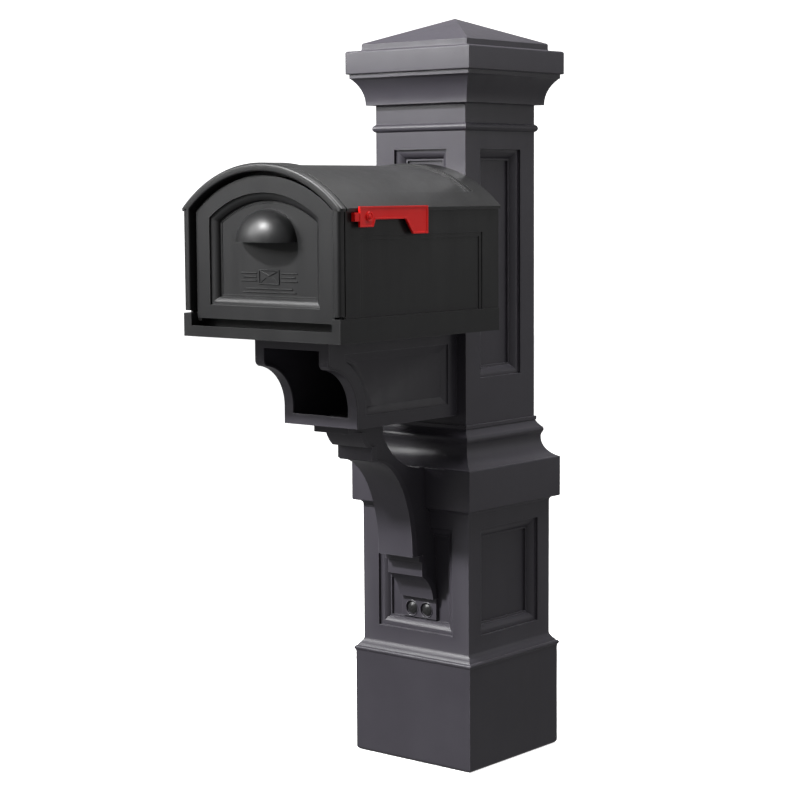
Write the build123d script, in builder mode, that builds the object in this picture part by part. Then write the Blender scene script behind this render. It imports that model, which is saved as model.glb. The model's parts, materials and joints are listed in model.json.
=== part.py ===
"""Residential mailbox on a moulded post, with a newspaper holder carried by a corbel bracket.

Millimetres. +Z is up and the origin is the centre of the post's bottom face. The door faces -Y and the
signal flag is on the +X side. The post is square, so its faces are given as half-widths from its axis.
"""
from build123d import *
import os
from math import cos, radians, sin, sqrt

os.makedirs("parts", exist_ok=True)

# ---------------------------------------------------------------- driving dimensions
SEAT_GAP = 0.3            # clearance between pieces that only face each other
SHAFT_CLEARANCE = 0.05    # radial running clearance of a pin in its hole

# Post
POST_WALL = 5.5
COLUMN_HALF = 111.5
COLUMN_HEIGHT = 620.0
BOX_PROUD = 22.0          # panelled box beyond the column's face
BOX_HEIGHT = 279.0
PLINTH_PROUD = 12.0       # plinth and band beyond the box's face
PLINTH_HEIGHT = 203.0
PLINTH_EDGE_RADIUS = 8.0
FOOT_FLANGE = 16.0        # inward flange that the post stands on
FOOT_FLANGE_HEIGHT = 6.0
PLINTH_MOULDING_HEIGHT = 29.0
BAND_PROUD = 15.8
BAND_HEIGHT = 83.0
BAND_EDGE_RADIUS = 2.5
SHOULDER_HEIGHT = 82.0
SPIGOT_DEPTH = 34.0
SPIGOT_CLEARANCE = 0.5

# Sunk panels with a moulded ring, on all four faces
PANEL_STEP = 5.3          # sharp drop at the ring's outer edge
PANEL_DEPTH = 20.0        # depth of the flat field
RING_WIDTH = 18.0         # width of the ovolo
RING_DEPTH = 14.5         # depth at the ovolo's inner end
LEDGE_WIDTH = 3.5         # narrow ledge between the ovolo and the field
BOX_PANEL_MARGIN = 39.5
BOX_PANEL_BOTTOM_RAIL = 31.0
BOX_PANEL_TOP_RAIL = 37.0
COLUMN_PANEL_MARGIN = 46.0
COLUMN_PANEL_BOTTOM_RAIL = 90.0
COLUMN_PANEL_TOP_RAIL = 87.5

# Astragal bead and cap
BEAD_BELOW_TOP = 45.5
BEAD_HEIGHT = 14.0
BEAD_PROUD = 5.6
CAP_LIP_PROUD = 14.5      # cap's mouldings beyond the column's face
CAP_COVE_PROUD = 34.5
CAP_COVE_HEIGHT = 51.0
CAP_FILLET_PROUD = 37.0
CAP_FILLET_HEIGHT = 8.0
FASCIA_PROUD = 42.3
FASCIA_HEIGHT = 45.0
FASCIA_EDGE_RADIUS = 4.0
RISER_PROUD = 19.5
RISER_HEIGHT = 15.5
PYRAMID_HEIGHT = 48.5
CAP_WALL = 4.5

# Timber that the post sleeves over, and the plates that centre it
TIMBER_SIZE = 89.0
TIMBER_CLEARANCE = 1.5
GUIDE_THICKNESS = 12.0

# Newspaper holder
HOLDER_HALF = 90.0
HOLDER_HEIGHT = 170.0
HOLDER_TOP_ABOVE_COLUMN_FOOT = 189.0
HOLDER_REACH = 375.0      # from the column's face to the front of the top edge
HOLDER_RISE = 45.0        # straight front below the top edge
HOLDER_ROUND = 12.5
HOLDER_SETBACK = 78.0     # how far the foot of the S-curve lies behind the top edge
HOLDER_FOOT = 34.0        # straight front at the bottom
HOLDER_WALL = 4.5
HOLDER_REAR_WALL = 5.0
RIM_WIDTH = 22.0
RIM_THICKNESS = 4.0
RIM_PROUD = 0.6
HOLDER_PANEL_STEP = 2.5
HOLDER_PANEL_DEPTH = 8.0
HOLDER_PANEL_RING = 15.0
HOLDER_PANEL_FRONT = 25.0      # behind the S-curve
HOLDER_PANEL_SETBACK = 46.5    # behind the straight front
HOLDER_PANEL_TOP_RAIL = 30.0
HOLDER_PANEL_BOTTOM_RAIL = 24.0
HOLDER_PANEL_REAR = 28.0

# Corbel bracket
CORBEL_HALF = 43.0
CORBEL_CHEEK_HALF = 37.0
CORBEL_SKIN = 13.0
CORBEL_WALL = 4.5
CORBEL_REACH = 229.0      # from the band's face to the front of the top plate
CORBEL_PLATE_HEIGHT = 15.0
CORBEL_OVOLO_HEIGHT = 30.0
CORBEL_OVOLO_REACH = 20.0
CORBEL_BLOCK_HEIGHT = 26.0
CORBEL_OVOLO_SETBACK = 32.0   # behind the top plate's front
CORBEL_BLOCK_SETBACK = 35.0   # behind the ovolo's front
CORBEL_BACK_SETBACK = 106.0
ARM_DROP = 193.0          # height of the arm's curve
ARM_FOOT_REACH = 80.0     # arm's foot, in front of the sunk field
FOOT_PLATE_REACH = 60.0
FOOT_BLOCK_REACH = 51.0
BOLT_SPACING = 36.8
BOLT_ABOVE_PANEL = 41.0   # above the bottom edge of the box's sunk panel
BOLT_HEAD_RADIUS = 11.5
BOLT_RADIUS = 5.0
BOLT_SEAT_RADIUS = 14.0
PAD_THICKNESS = 7.5
BOLT_SEAT_DEPTH = 3.0

# Mailbox
BOX_WIDTH_HALF = 190.8
MAILBOX_DEPTH = 456.5
TRAY_HEIGHT = 43.0
TRAY_PROUD = 1.5
TRAY_LIP_HEIGHT = 20.0
TRAY_WALL = 3.0
TRAY_FLOOR_THICKNESS = 4.0
TRAY_RIB_HALF = 60.0
EAVE_OVERHANG = 4.6
EAVE_HEIGHT = 235.0       # from the tray's underside to the eave
ROOF_RISE = 81.0
EAVE_LIP = 4.0
SHELL_WALL = 3.0
ROOF_PANEL_DEPTH = 4.0
ROOF_PANEL_HALF = 163.5
ROOF_PANEL_FRONT = 57.0
ROOF_PANEL_REAR = 57.0
ROOF_GROOVE_DEPTH = 2.5   # groove across the roof behind the sunk panel
ROOF_GROOVE_WIDTH = 5.0
ROOF_GROOVE_GAP = 7.0
SIDE_PANEL_DEPTH = 3.0
SIDE_PANEL_STEP = 1.5
SIDE_PANEL_STEP_WIDTH = 8.0
SIDE_PANEL_BELOW_EAVE = 48.0
SIDE_PANEL_FRONT = 56.0
SIDE_PANEL_REAR = 51.0

# Front frame and door
FRAME_BAND = 15.4
FRAME_DEPTH = 14.0
FRAME_RISE = 4.5          # frame's foot above the tray's corner posts
FRAME_SEAM = 3.0          # groove between the frame and the shell
STOP_WIDTH = 32.0
STOP_THICKNESS = 3.4
DOOR_SETBACK = 12.0
DOOR_GAP = 7.5
DOOR_FOOT_ABOVE_LIP = 14.0
DOOR_WALL = 4.0
DOOR_DEPTH = 18.0
DOOR_PANEL_RAIL = 33.0
DOOR_PANEL_FOOT = 25.0
DOOR_PANEL_CROWN = 30.0
DOOR_PANEL_STEP = 3.5
DOOR_PANEL_DEPTH = 15.0
DOOR_RING_WIDTH = 15.0
DOOR_RING_DEPTH = 10.5
DOOR_LEDGE = 4.0
PULL_HALF = 68.0
PULL_REACH = 46.0
PULL_HEIGHT = 59.0
PULL_WALL = 3.0
PULL_ABOVE_FOOT = 141.0

# Door hinge and catch
HINGE_BELOW_DOOR_FOOT = 2.0
HINGE_BEHIND_DOOR_FACE = 8.0
HINGE_PIN_RADIUS = 3.0
HINGE_LUG_RADIUS = 6.0
HINGE_LUG_WIDTH = 8.0
MAGNET_WIDTH = 26.0
MAGNET_HEIGHT = 10.0
MAGNET_THICKNESS = 8.0
MAGNET_BELOW_CREST = 18.0     # below the door's top edge
CATCH_PLATE_THICKNESS = 1.6

# Flag
FLAG_STANDOFF = 2.2       # from the eave's tip to the flag's back
FLAG_THICKNESS = 4.0
FLAG_PIVOT_FROM_FRONT = 68.6
FLAG_PIVOT_BELOW_EAVE = 14.6
FLAG_TOP_ABOVE_EAVE = 3.0
FLAG_ARM_DEPTH = 23.0
FLAG_HUB_DEPTH = 36.0
FLAG_HUB_FRONT = 24.6
FLAG_HUB_REAR = 17.4
FLAG_LENGTH = 163.4       # pivot to the blade's end
FLAG_BLADE_DEPTH = 50.0
FLAG_BLADE_WIDTH = 42.0
FLAG_SLOPE = 20.0
FLAG_BORDER = 3.0
FLAG_SINK = 1.0
FLAG_BOSS_RADIUS = 8.0
FLAG_PIN_RADIUS = 3.0

# Small fasteners
SCREW_RADIUS = 2.5
SCREW_HEAD_RADIUS = 5.0
SCREW_HEAD_HEIGHT = 3.0
NUT_RADIUS = 7.0
NUT_HEIGHT = 5.0
WASHER_THICKNESS = 1.5
BOSS_HEIGHT = 12.0        # screw bosses inside the shell
REAR_PANEL_THICKNESS = 4.0
HOLDER_BOLT_RADIUS = 3.0
HOLDER_BOLT_INSET = 24.0  # from the holder's top and bottom to its bolts

# ---------------------------------------------------------------- places worked out from them
BOX_HALF = COLUMN_HALF + BOX_PROUD
PLINTH_HALF = BOX_HALF + PLINTH_PROUD
BAND_HALF = BOX_HALF + BAND_PROUD
CAP_LIP_HALF = COLUMN_HALF + CAP_LIP_PROUD
CAP_COVE_HALF = COLUMN_HALF + CAP_COVE_PROUD
CAP_FILLET_HALF = COLUMN_HALF + CAP_FILLET_PROUD
FASCIA_HALF = COLUMN_HALF + FASCIA_PROUD
RISER_HALF = COLUMN_HALF + RISER_PROUD
BOX_BOTTOM = PLINTH_HEIGHT + PLINTH_MOULDING_HEIGHT
BAND_BOTTOM = BOX_BOTTOM + BOX_HEIGHT
BAND_TOP = BAND_BOTTOM + BAND_HEIGHT
COLUMN_FOOT = BAND_TOP + SHOULDER_HEIGHT
COLUMN_TOP = COLUMN_FOOT + COLUMN_HEIGHT
COLUMN_INNER = COLUMN_HALF - POST_WALL
SPIGOT_HALF = COLUMN_INNER - SPIGOT_CLEARANCE
SPIGOT_INNER = SPIGOT_HALF - POST_WALL
PANEL_BACKING = PANEL_DEPTH + POST_WALL

BOX_PANEL_HALF = BOX_HALF - BOX_PANEL_MARGIN
BOX_PANEL_BOTTOM = BOX_BOTTOM + BOX_PANEL_BOTTOM_RAIL
BOX_PANEL_TOP = BAND_BOTTOM - BOX_PANEL_TOP_RAIL
COLUMN_PANEL_HALF = COLUMN_HALF - COLUMN_PANEL_MARGIN
COLUMN_PANEL_BOTTOM = COLUMN_FOOT + COLUMN_PANEL_BOTTOM_RAIL
COLUMN_PANEL_TOP = COLUMN_TOP - COLUMN_PANEL_TOP_RAIL

COLUMN_FACE = -COLUMN_HALF
HOLDER_TOP = COLUMN_FOOT + HOLDER_TOP_ABOVE_COLUMN_FOOT
HOLDER_BOTTOM = HOLDER_TOP - HOLDER_HEIGHT
HOLDER_FRONT = COLUMN_FACE - HOLDER_REACH
HOLDER_FOOT_FRONT = HOLDER_FRONT + HOLDER_SETBACK

MAILBOX_REAR = COLUMN_FACE
MAILBOX_FRONT = MAILBOX_REAR - MAILBOX_DEPTH
TRAY_BOTTOM = HOLDER_TOP
TRAY_TOP = TRAY_BOTTOM + TRAY_HEIGHT
TRAY_LIP_TOP = TRAY_BOTTOM + TRAY_LIP_HEIGHT
EAVE = TRAY_BOTTOM + EAVE_HEIGHT
CREST = EAVE + ROOF_RISE
EAVE_HALF = BOX_WIDTH_HALF + EAVE_OVERHANG
ROOF_RADIUS = (EAVE_HALF ** 2 + ROOF_RISE ** 2) / (2 * ROOF_RISE)
ROOF_CENTRE = CREST - ROOF_RADIUS
ROOF_THICKNESS = SHELL_WALL + ROOF_PANEL_DEPTH
SIDE_THICKNESS = SHELL_WALL + SIDE_PANEL_DEPTH
SHELL_INNER_HALF = BOX_WIDTH_HALF - SIDE_THICKNESS

FRAME_FOOT = TRAY_TOP + FRAME_RISE
FRAME_BACK = MAILBOX_FRONT + FRAME_DEPTH
INSERT_HALF = SHELL_INNER_HALF - SEAT_GAP
INSERT_INSET = ROOF_THICKNESS + SEAT_GAP

DOOR_FACE = MAILBOX_FRONT + DOOR_SETBACK
DOOR_BACK = DOOR_FACE + DOOR_DEPTH
STOP_FACE = DOOR_BACK + 2 * SEAT_GAP
INSERT_BACK = STOP_FACE + STOP_THICKNESS
DOOR_INSET = FRAME_BAND + DOOR_GAP
DOOR_HALF = BOX_WIDTH_HALF - DOOR_INSET
DOOR_FOOT = TRAY_LIP_TOP + DOOR_FOOT_ABOVE_LIP
HINGE_Z = DOOR_FOOT - HINGE_BELOW_DOOR_FOOT
HINGE_Y = DOOR_FACE + HINGE_BEHIND_DOOR_FACE

FLAG_BACK = EAVE_HALF + FLAG_STANDOFF
FLAG_Y = MAILBOX_FRONT + FLAG_PIVOT_FROM_FRONT
FLAG_Z = EAVE - FLAG_PIVOT_BELOW_EAVE

BOLT_Z = BOX_PANEL_BOTTOM + BOLT_ABOVE_PANEL
PANEL_FIELD = -(BOX_HALF - PANEL_DEPTH)      # the front panel's flat field


# ---------------------------------------------------------------- shared shapes
def square_moulding(outline):
    """A mitred square body: one outline run along X and along Y, kept where both agree."""
    across = Rot(0, 0, 90) * outline
    with BuildPart() as body:
        extrude(outline, amount=2 * BAND_HALF, both=True)
        extrude(across, amount=2 * BAND_HALF, both=True, mode=Mode.INTERSECT)
    return body.part


def arched_face(half, foot, inset):
    """A face with upright sides and an arched top, concentric with the roof."""
    radius = ROOF_RADIUS - inset
    spring = ROOF_CENTRE + sqrt(radius ** 2 - half ** 2)
    with BuildSketch(Plane.XZ) as face:
        with BuildLine():
            Polyline((-half, spring), (-half, foot), (half, foot), (half, spring))
            ThreePointArc((half, spring), (0, ROOF_CENTRE + radius), (-half, spring))
        make_face()
    return face.sketch


def arch_band(half, inset, thickness):
    """A strip of the roof's arch, of even thickness, between two upright ends."""
    outer = ROOF_RADIUS - inset
    inner = outer - thickness
    outer_end = ROOF_CENTRE + sqrt(outer ** 2 - half ** 2)
    inner_end = ROOF_CENTRE + sqrt(inner ** 2 - half ** 2)
    with BuildSketch(Plane.XZ) as band:
        with BuildLine():
            ThreePointArc((-half, outer_end), (0, ROOF_CENTRE + outer), (half, outer_end))
            Line((half, outer_end), (half, inner_end))
            ThreePointArc((half, inner_end), (0, ROOF_CENTRE + inner), (-half, inner_end))
            Line((-half, inner_end), (-half, outer_end))
        make_face()
    return band.sketch


def run_back(face, front, back):
    """Extrude a face drawn on the XZ plane so that it fills the depth from front to back."""
    with BuildPart() as run:
        extrude(Pos(0, back, 0) * face, amount=back - front)
    return run.part


def block(x_range, y_range, z_range):
    """A rectangular block between pairs of coordinates."""
    size = [high - low for low, high in (x_range, y_range, z_range)]
    middle = [(high + low) / 2 for low, high in (x_range, y_range, z_range)]
    with BuildPart() as solid:
        with Locations(tuple(middle)):
            Box(*size)
    return solid.part


def rod(centre, axis, radius, length):
    """A round rod that starts at a point and runs along a direction."""
    with BuildPart() as solid:
        with Locations(Plane(origin=centre, z_dir=axis)):
            Cylinder(radius, length, align=(Align.CENTER, Align.CENTER, Align.MIN))
    return solid.part


def pocket_section(half):
    """Section of a sunk panel's cut, across its width: drop, ovolo ring, ledge and flat field."""
    ring_start = (half - 0.8, -PANEL_STEP)
    ring_end = (half - RING_WIDTH, -RING_DEPTH)
    bulge = ((ring_start[0] + ring_end[0]) / 2 - 1.2, (ring_start[1] + ring_end[1]) / 2 + 2.2)
    ledge = -RING_DEPTH - 0.8
    field = half - RING_WIDTH - LEDGE_WIDTH
    with BuildSketch(Plane.XZ) as section:
        with BuildLine():
            Polyline((0, 1), (half, 1), (half, -PANEL_STEP), ring_start)
            ThreePointArc(ring_start, bulge, ring_end)
            Polyline(ring_end, (ring_end[0], ledge), (field, ledge), (field, -PANEL_DEPTH),
                     (0, -PANEL_DEPTH), (0, 1))
        make_face()
        mirror(about=Plane.YZ)
    return section.sketch


def sunk_panel(half_width, half_height, face_half, middle_z):
    """Cutter for a sunk panel on the post's +X face, with mitred corners."""
    upright = pocket_section(half_width)
    level = Rot(0, 0, 90) * pocket_section(half_height)
    with BuildPart() as cutter:
        extrude(upright, amount=half_height + 1, both=True)
        extrude(level, amount=half_width + 1, both=True, mode=Mode.INTERSECT)
    face = Plane(origin=(face_half, 0, middle_z), x_dir=(0, 1, 0), z_dir=(1, 0, 0))
    return face.location * cutter.part


# ---------------------------------------------------------------- pedestal
def pedestal_outline():
    """Pedestal's moulded outline, from the ground up to the lip under the column."""
    neck = COLUMN_HALF + 10.0
    bead = COLUMN_HALF + 14.0
    lip = COLUMN_HALF + 3.5
    with BuildSketch(Plane.XZ) as outline:
        with BuildLine():
            bottom_round = RadiusArc((PLINTH_HALF - PLINTH_EDGE_RADIUS, 0),
                                     (PLINTH_HALF, PLINTH_EDGE_RADIUS), -PLINTH_EDGE_RADIUS)
            foot = Line(bottom_round @ 1, (PLINTH_HALF, PLINTH_HEIGHT))
            bead_low = Line(foot @ 1, (PLINTH_HALF + 0.5, PLINTH_HEIGHT + 3.5))
            plinth_bead = ThreePointArc(bead_low @ 1, (PLINTH_HALF + 2.8, PLINTH_HEIGHT + 8.0),
                                        (PLINTH_HALF - 1.5, PLINTH_HEIGHT + 12.5))
            step = Line(plinth_bead @ 1, (PLINTH_HALF - 4.0, PLINTH_HEIGHT + 16.5))
            cove = ThreePointArc(step @ 1, (BOX_HALF + 2.8, BOX_BOTTOM - 6.5), (BOX_HALF, BOX_BOTTOM))
            box = Line(cove @ 1, (BOX_HALF, BAND_BOTTOM - 8))
            soffit = ThreePointArc(box @ 1, (BOX_HALF + 1.2, BAND_BOTTOM - 3),
                                   (BOX_HALF + 4.5, BAND_BOTTOM))
            under = Line(soffit @ 1, (BAND_HALF - BAND_EDGE_RADIUS, BAND_BOTTOM + 2))
            low_round = RadiusArc(under @ 1, (BAND_HALF, BAND_BOTTOM + 2 + BAND_EDGE_RADIUS),
                                  -BAND_EDGE_RADIUS)
            band = Line(low_round @ 1, (BAND_HALF, BAND_TOP - BAND_EDGE_RADIUS))
            top_round = RadiusArc(band @ 1, (BAND_HALF - BAND_EDGE_RADIUS, BAND_TOP), -BAND_EDGE_RADIUS)
            large_cove = ThreePointArc(top_round @ 1, (neck + 7.5, BAND_TOP + 15), (neck, BAND_TOP + 43))
            under_bead = Line(large_cove @ 1, (neck + 1.5, BAND_TOP + 48))
            bead_round = ThreePointArc(under_bead @ 1, (bead, BAND_TOP + 55), (bead - 1.5, BAND_TOP + 60))
            small_cove = ThreePointArc(bead_round @ 1, (lip + 2.8, BAND_TOP + 66.5),
                                       (lip - 1.5, BAND_TOP + 74))
            lip_low = Line(small_cove @ 1, (lip, BAND_TOP + 75.5))
            lip_side = Line(lip_low @ 1, (lip, COLUMN_FOOT))
            Polyline(lip_side @ 1, (0, COLUMN_FOOT), (0, 0), bottom_round @ 0)
        make_face()
        mirror(about=Plane.YZ)
    return outline.sketch


def pedestal_cavity_outline():
    """Space inside the pedestal: it follows the moulding and narrows to the column's socket."""
    foot = PLINTH_HALF - FOOT_FLANGE
    plinth = PLINTH_HALF - POST_WALL
    box = BOX_HALF - POST_WALL
    band = BAND_HALF - POST_WALL
    shoulder = COLUMN_HALF + 10.0 - POST_WALL
    socket = SPIGOT_HALF + SPIGOT_CLEARANCE
    socket_floor = COLUMN_FOOT - SPIGOT_DEPTH - 2.0
    with BuildSketch(Plane.XZ) as outline:
        with BuildLine():
            Polyline((0, 0), (foot, 0), (foot, FOOT_FLANGE_HEIGHT), (plinth, FOOT_FLANGE_HEIGHT),
                     (plinth, PLINTH_HEIGHT + 6), (box, BOX_BOTTOM - 8),
                     (box, BAND_BOTTOM + POST_WALL), (band, BAND_BOTTOM + POST_WALL + 4),
                     (band, BAND_TOP - POST_WALL), (shoulder, BAND_TOP + 18), (shoulder, socket_floor - 4),
                     (socket, socket_floor), (socket, COLUMN_FOOT), (0, COLUMN_FOOT), (0, 0))
        make_face()
        mirror(about=Plane.YZ)
    return outline.sketch


BOX_PANEL_MIDDLE = (BOX_PANEL_TOP + BOX_PANEL_BOTTOM) / 2
BOX_PANEL_HALF_HEIGHT = (BOX_PANEL_TOP - BOX_PANEL_BOTTOM) / 2
box_panel_cutter = sunk_panel(BOX_PANEL_HALF, BOX_PANEL_HALF_HEIGHT, BOX_HALF, BOX_PANEL_MIDDLE)
pedestal_body = square_moulding(pedestal_outline())

with BuildPart() as pedestal_cavity:
    add(square_moulding(pedestal_cavity_outline()))
    with PolarLocations(BOX_HALF, 4):
        with Locations((0, 0, BOX_PANEL_MIDDLE)):
            Box(2 * PANEL_BACKING, 2 * (BOX_PANEL_HALF + POST_WALL),
                2 * (BOX_PANEL_HALF_HEIGHT + POST_WALL), mode=Mode.SUBTRACT)

with BuildPart() as pedestal:
    add(pedestal_body)
    add(pedestal_cavity.part, mode=Mode.SUBTRACT)
    with PolarLocations(0, 4):
        add(box_panel_cutter, mode=Mode.SUBTRACT)
    with Locations(Plane(origin=(0, PANEL_FIELD, BOLT_Z), x_dir=(1, 0, 0), z_dir=(0, -1, 0))):
        with GridLocations(BOLT_SPACING, 0, 2, 1):
            Hole(BOLT_RADIUS, depth=2 * POST_WALL)
pedestal.part.label = "pedestal"
export_step(pedestal.part, "parts/pedestal.step")


# ---------------------------------------------------------------- column
def column_outline():
    """Column's outline: spigot, plain shaft and the astragal bead near its top."""
    bead = COLUMN_TOP - BEAD_BELOW_TOP
    with BuildSketch(Plane.XZ) as outline:
        with BuildLine():
            shaft = Polyline((SPIGOT_HALF, COLUMN_FOOT - SPIGOT_DEPTH), (SPIGOT_HALF, COLUMN_FOOT),
                             (COLUMN_HALF, COLUMN_FOOT), (COLUMN_HALF, bead - BEAD_HEIGHT / 2 - 1),
                             (COLUMN_HALF + 1, bead - BEAD_HEIGHT / 2))
            bead_round = ThreePointArc(shaft @ 1, (COLUMN_HALF + BEAD_PROUD, bead),
                                       (COLUMN_HALF + 1, bead + BEAD_HEIGHT / 2))
            Polyline(bead_round @ 1, (COLUMN_HALF, bead + BEAD_HEIGHT / 2 + 1), (COLUMN_HALF, COLUMN_TOP),
                     (0, COLUMN_TOP), (0, COLUMN_FOOT - SPIGOT_DEPTH), shaft @ 0)
        make_face()
        mirror(about=Plane.YZ)
    return outline.sketch


def column_cavity_outline():
    """Space inside the column and its spigot."""
    shelf = COLUMN_FOOT + POST_WALL
    with BuildSketch(Plane.XZ) as outline:
        with BuildLine():
            Polyline((0, COLUMN_FOOT - SPIGOT_DEPTH), (SPIGOT_INNER, COLUMN_FOOT - SPIGOT_DEPTH),
                     (SPIGOT_INNER, shelf), (COLUMN_INNER, shelf), (COLUMN_INNER, COLUMN_TOP),
                     (0, COLUMN_TOP), (0, COLUMN_FOOT - SPIGOT_DEPTH))
        make_face()
        mirror(about=Plane.YZ)
    return outline.sketch


COLUMN_PANEL_MIDDLE = (COLUMN_PANEL_TOP + COLUMN_PANEL_BOTTOM) / 2
COLUMN_PANEL_HALF_HEIGHT = (COLUMN_PANEL_TOP - COLUMN_PANEL_BOTTOM) / 2
column_panel_cutter = sunk_panel(COLUMN_PANEL_HALF, COLUMN_PANEL_HALF_HEIGHT, COLUMN_HALF,
                                 COLUMN_PANEL_MIDDLE)
column_body = square_moulding(column_outline())
holder_bolt_x = (COLUMN_PANEL_HALF + HOLDER_HALF) / 2
holder_bolt_z = (HOLDER_BOTTOM + HOLDER_BOLT_INSET, HOLDER_TOP - HOLDER_BOLT_INSET)
holder_bolt_places = [(x, z) for x in (-holder_bolt_x, holder_bolt_x) for z in holder_bolt_z]

with BuildPart() as column_cavity:
    add(square_moulding(column_cavity_outline()))
    with PolarLocations(COLUMN_HALF, 4):
        with Locations((0, 0, COLUMN_PANEL_MIDDLE)):
            Box(2 * PANEL_BACKING, 2 * (COLUMN_PANEL_HALF + POST_WALL),
                2 * (COLUMN_PANEL_HALF_HEIGHT + POST_WALL), mode=Mode.SUBTRACT)

with BuildPart() as column:
    add(column_body)
    add(column_cavity.part, mode=Mode.SUBTRACT)
    with PolarLocations(0, 4):
        add(column_panel_cutter, mode=Mode.SUBTRACT)
    for x, z in holder_bolt_places:
        with Locations(Plane(origin=(x, COLUMN_FACE, z), x_dir=(1, 0, 0), z_dir=(0, -1, 0))):
            Hole(HOLDER_BOLT_RADIUS, depth=2 * POST_WALL)
column.part.label = "column"
export_step(column.part, "parts/column.step")


# ---------------------------------------------------------------- cap
CAP_COVE_TOP = COLUMN_TOP + CAP_COVE_HEIGHT
FASCIA_BOTTOM = CAP_COVE_TOP + CAP_FILLET_HEIGHT + 1.5
FASCIA_TOP = FASCIA_BOTTOM + FASCIA_HEIGHT
RISER_TOP = FASCIA_TOP + RISER_HEIGHT
CAP_TOP = RISER_TOP + PYRAMID_HEIGHT


def cap_outline():
    """Cap's outline: plug, cove, fillet, fascia, riser and pyramid."""
    with BuildSketch(Plane.XZ) as outline:
        with BuildLine():
            plug = Polyline((SPIGOT_HALF, COLUMN_TOP - SPIGOT_DEPTH), (SPIGOT_HALF, COLUMN_TOP),
                            (CAP_LIP_HALF, COLUMN_TOP))
            cove_middle = ((2 * CAP_LIP_HALF + CAP_COVE_HALF) / 3 - 1.0, COLUMN_TOP + 0.58 * CAP_COVE_HEIGHT)
            cove = ThreePointArc(plug @ 1, cove_middle, (CAP_COVE_HALF, CAP_COVE_TOP))
            fillet_band = Polyline(cove @ 1, (CAP_FILLET_HALF, CAP_COVE_TOP + 1.5),
                                   (CAP_FILLET_HALF, FASCIA_BOTTOM), (FASCIA_HALF - 2, FASCIA_BOTTOM))
            low_round = RadiusArc(fillet_band @ 1, (FASCIA_HALF, FASCIA_BOTTOM + 2), -2)
            fascia = Line(low_round @ 1, (FASCIA_HALF, FASCIA_TOP - FASCIA_EDGE_RADIUS))
            high_round = RadiusArc(fascia @ 1, (FASCIA_HALF - FASCIA_EDGE_RADIUS, FASCIA_TOP),
                                   -FASCIA_EDGE_RADIUS)
            riser_foot = Line(high_round @ 1, (RISER_HALF + 3, FASCIA_TOP + 1))
            riser_cove = RadiusArc(riser_foot @ 1, (RISER_HALF, FASCIA_TOP + 4), 3)
            riser = Line(riser_cove @ 1, (RISER_HALF, RISER_TOP - 2))
            Polyline(riser @ 1, (RISER_HALF - 2, RISER_TOP), (0, CAP_TOP),
                     (0, COLUMN_TOP - SPIGOT_DEPTH), plug @ 0)
        make_face()
        mirror(about=Plane.YZ)
    return outline.sketch


def cap_cavity_outline():
    """Space inside the cap."""
    with BuildSketch(Plane.XZ) as outline:
        with BuildLine():
            Polyline((0, COLUMN_TOP - SPIGOT_DEPTH), (SPIGOT_INNER, COLUMN_TOP - SPIGOT_DEPTH),
                     (SPIGOT_INNER, COLUMN_TOP + CAP_WALL), (CAP_LIP_HALF - CAP_WALL, COLUMN_TOP + CAP_WALL),
                     (CAP_LIP_HALF - CAP_WALL, COLUMN_TOP + CAP_COVE_HEIGHT / 2),
                     (CAP_COVE_HALF - 2 * CAP_WALL, CAP_COVE_TOP),
                     (CAP_FILLET_HALF - CAP_WALL, FASCIA_BOTTOM + CAP_WALL),
                     (CAP_FILLET_HALF - CAP_WALL, FASCIA_TOP - CAP_WALL - FASCIA_EDGE_RADIUS / 2),
                     (RISER_HALF - CAP_WALL, FASCIA_TOP - CAP_WALL),
                     (RISER_HALF - CAP_WALL, RISER_TOP - 2 - CAP_WALL),
                     (0, CAP_TOP - 1.5 * CAP_WALL), (0, COLUMN_TOP - SPIGOT_DEPTH))
        make_face()
        mirror(about=Plane.YZ)
    return outline.sketch


cap_body = square_moulding(cap_outline())
cap_cavity = square_moulding(cap_cavity_outline())

with BuildPart() as post_cap:
    add(cap_body)
    add(cap_cavity, mode=Mode.SUBTRACT)
post_cap.part.label = "post_cap"
export_step(post_cap.part, "parts/post_cap.step")


# ---------------------------------------------------------------- timber guides
def timber_guide(half, foot):
    """A square plate with the square hole that the timber passes through."""
    bore = TIMBER_SIZE + 2 * TIMBER_CLEARANCE
    with BuildPart() as guide:
        with BuildSketch(Plane.XY.offset(foot)):
            Rectangle(2 * half, 2 * half)
            Rectangle(bore, bore, mode=Mode.SUBTRACT)
        extrude(amount=GUIDE_THICKNESS)
    return guide.part


GUIDE_SEATS = {
    "lower_timber_guide": (PLINTH_HALF - POST_WALL - SEAT_GAP, FOOT_FLANGE_HEIGHT),
    "upper_timber_guide": (COLUMN_INNER - SEAT_GAP, COLUMN_FOOT + POST_WALL),
}
for guide_name, (guide_half, guide_foot) in GUIDE_SEATS.items():
    guide_part = timber_guide(guide_half, guide_foot)
    guide_part.label = guide_name
    export_step(guide_part, f"parts/{guide_name}.step")


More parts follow.
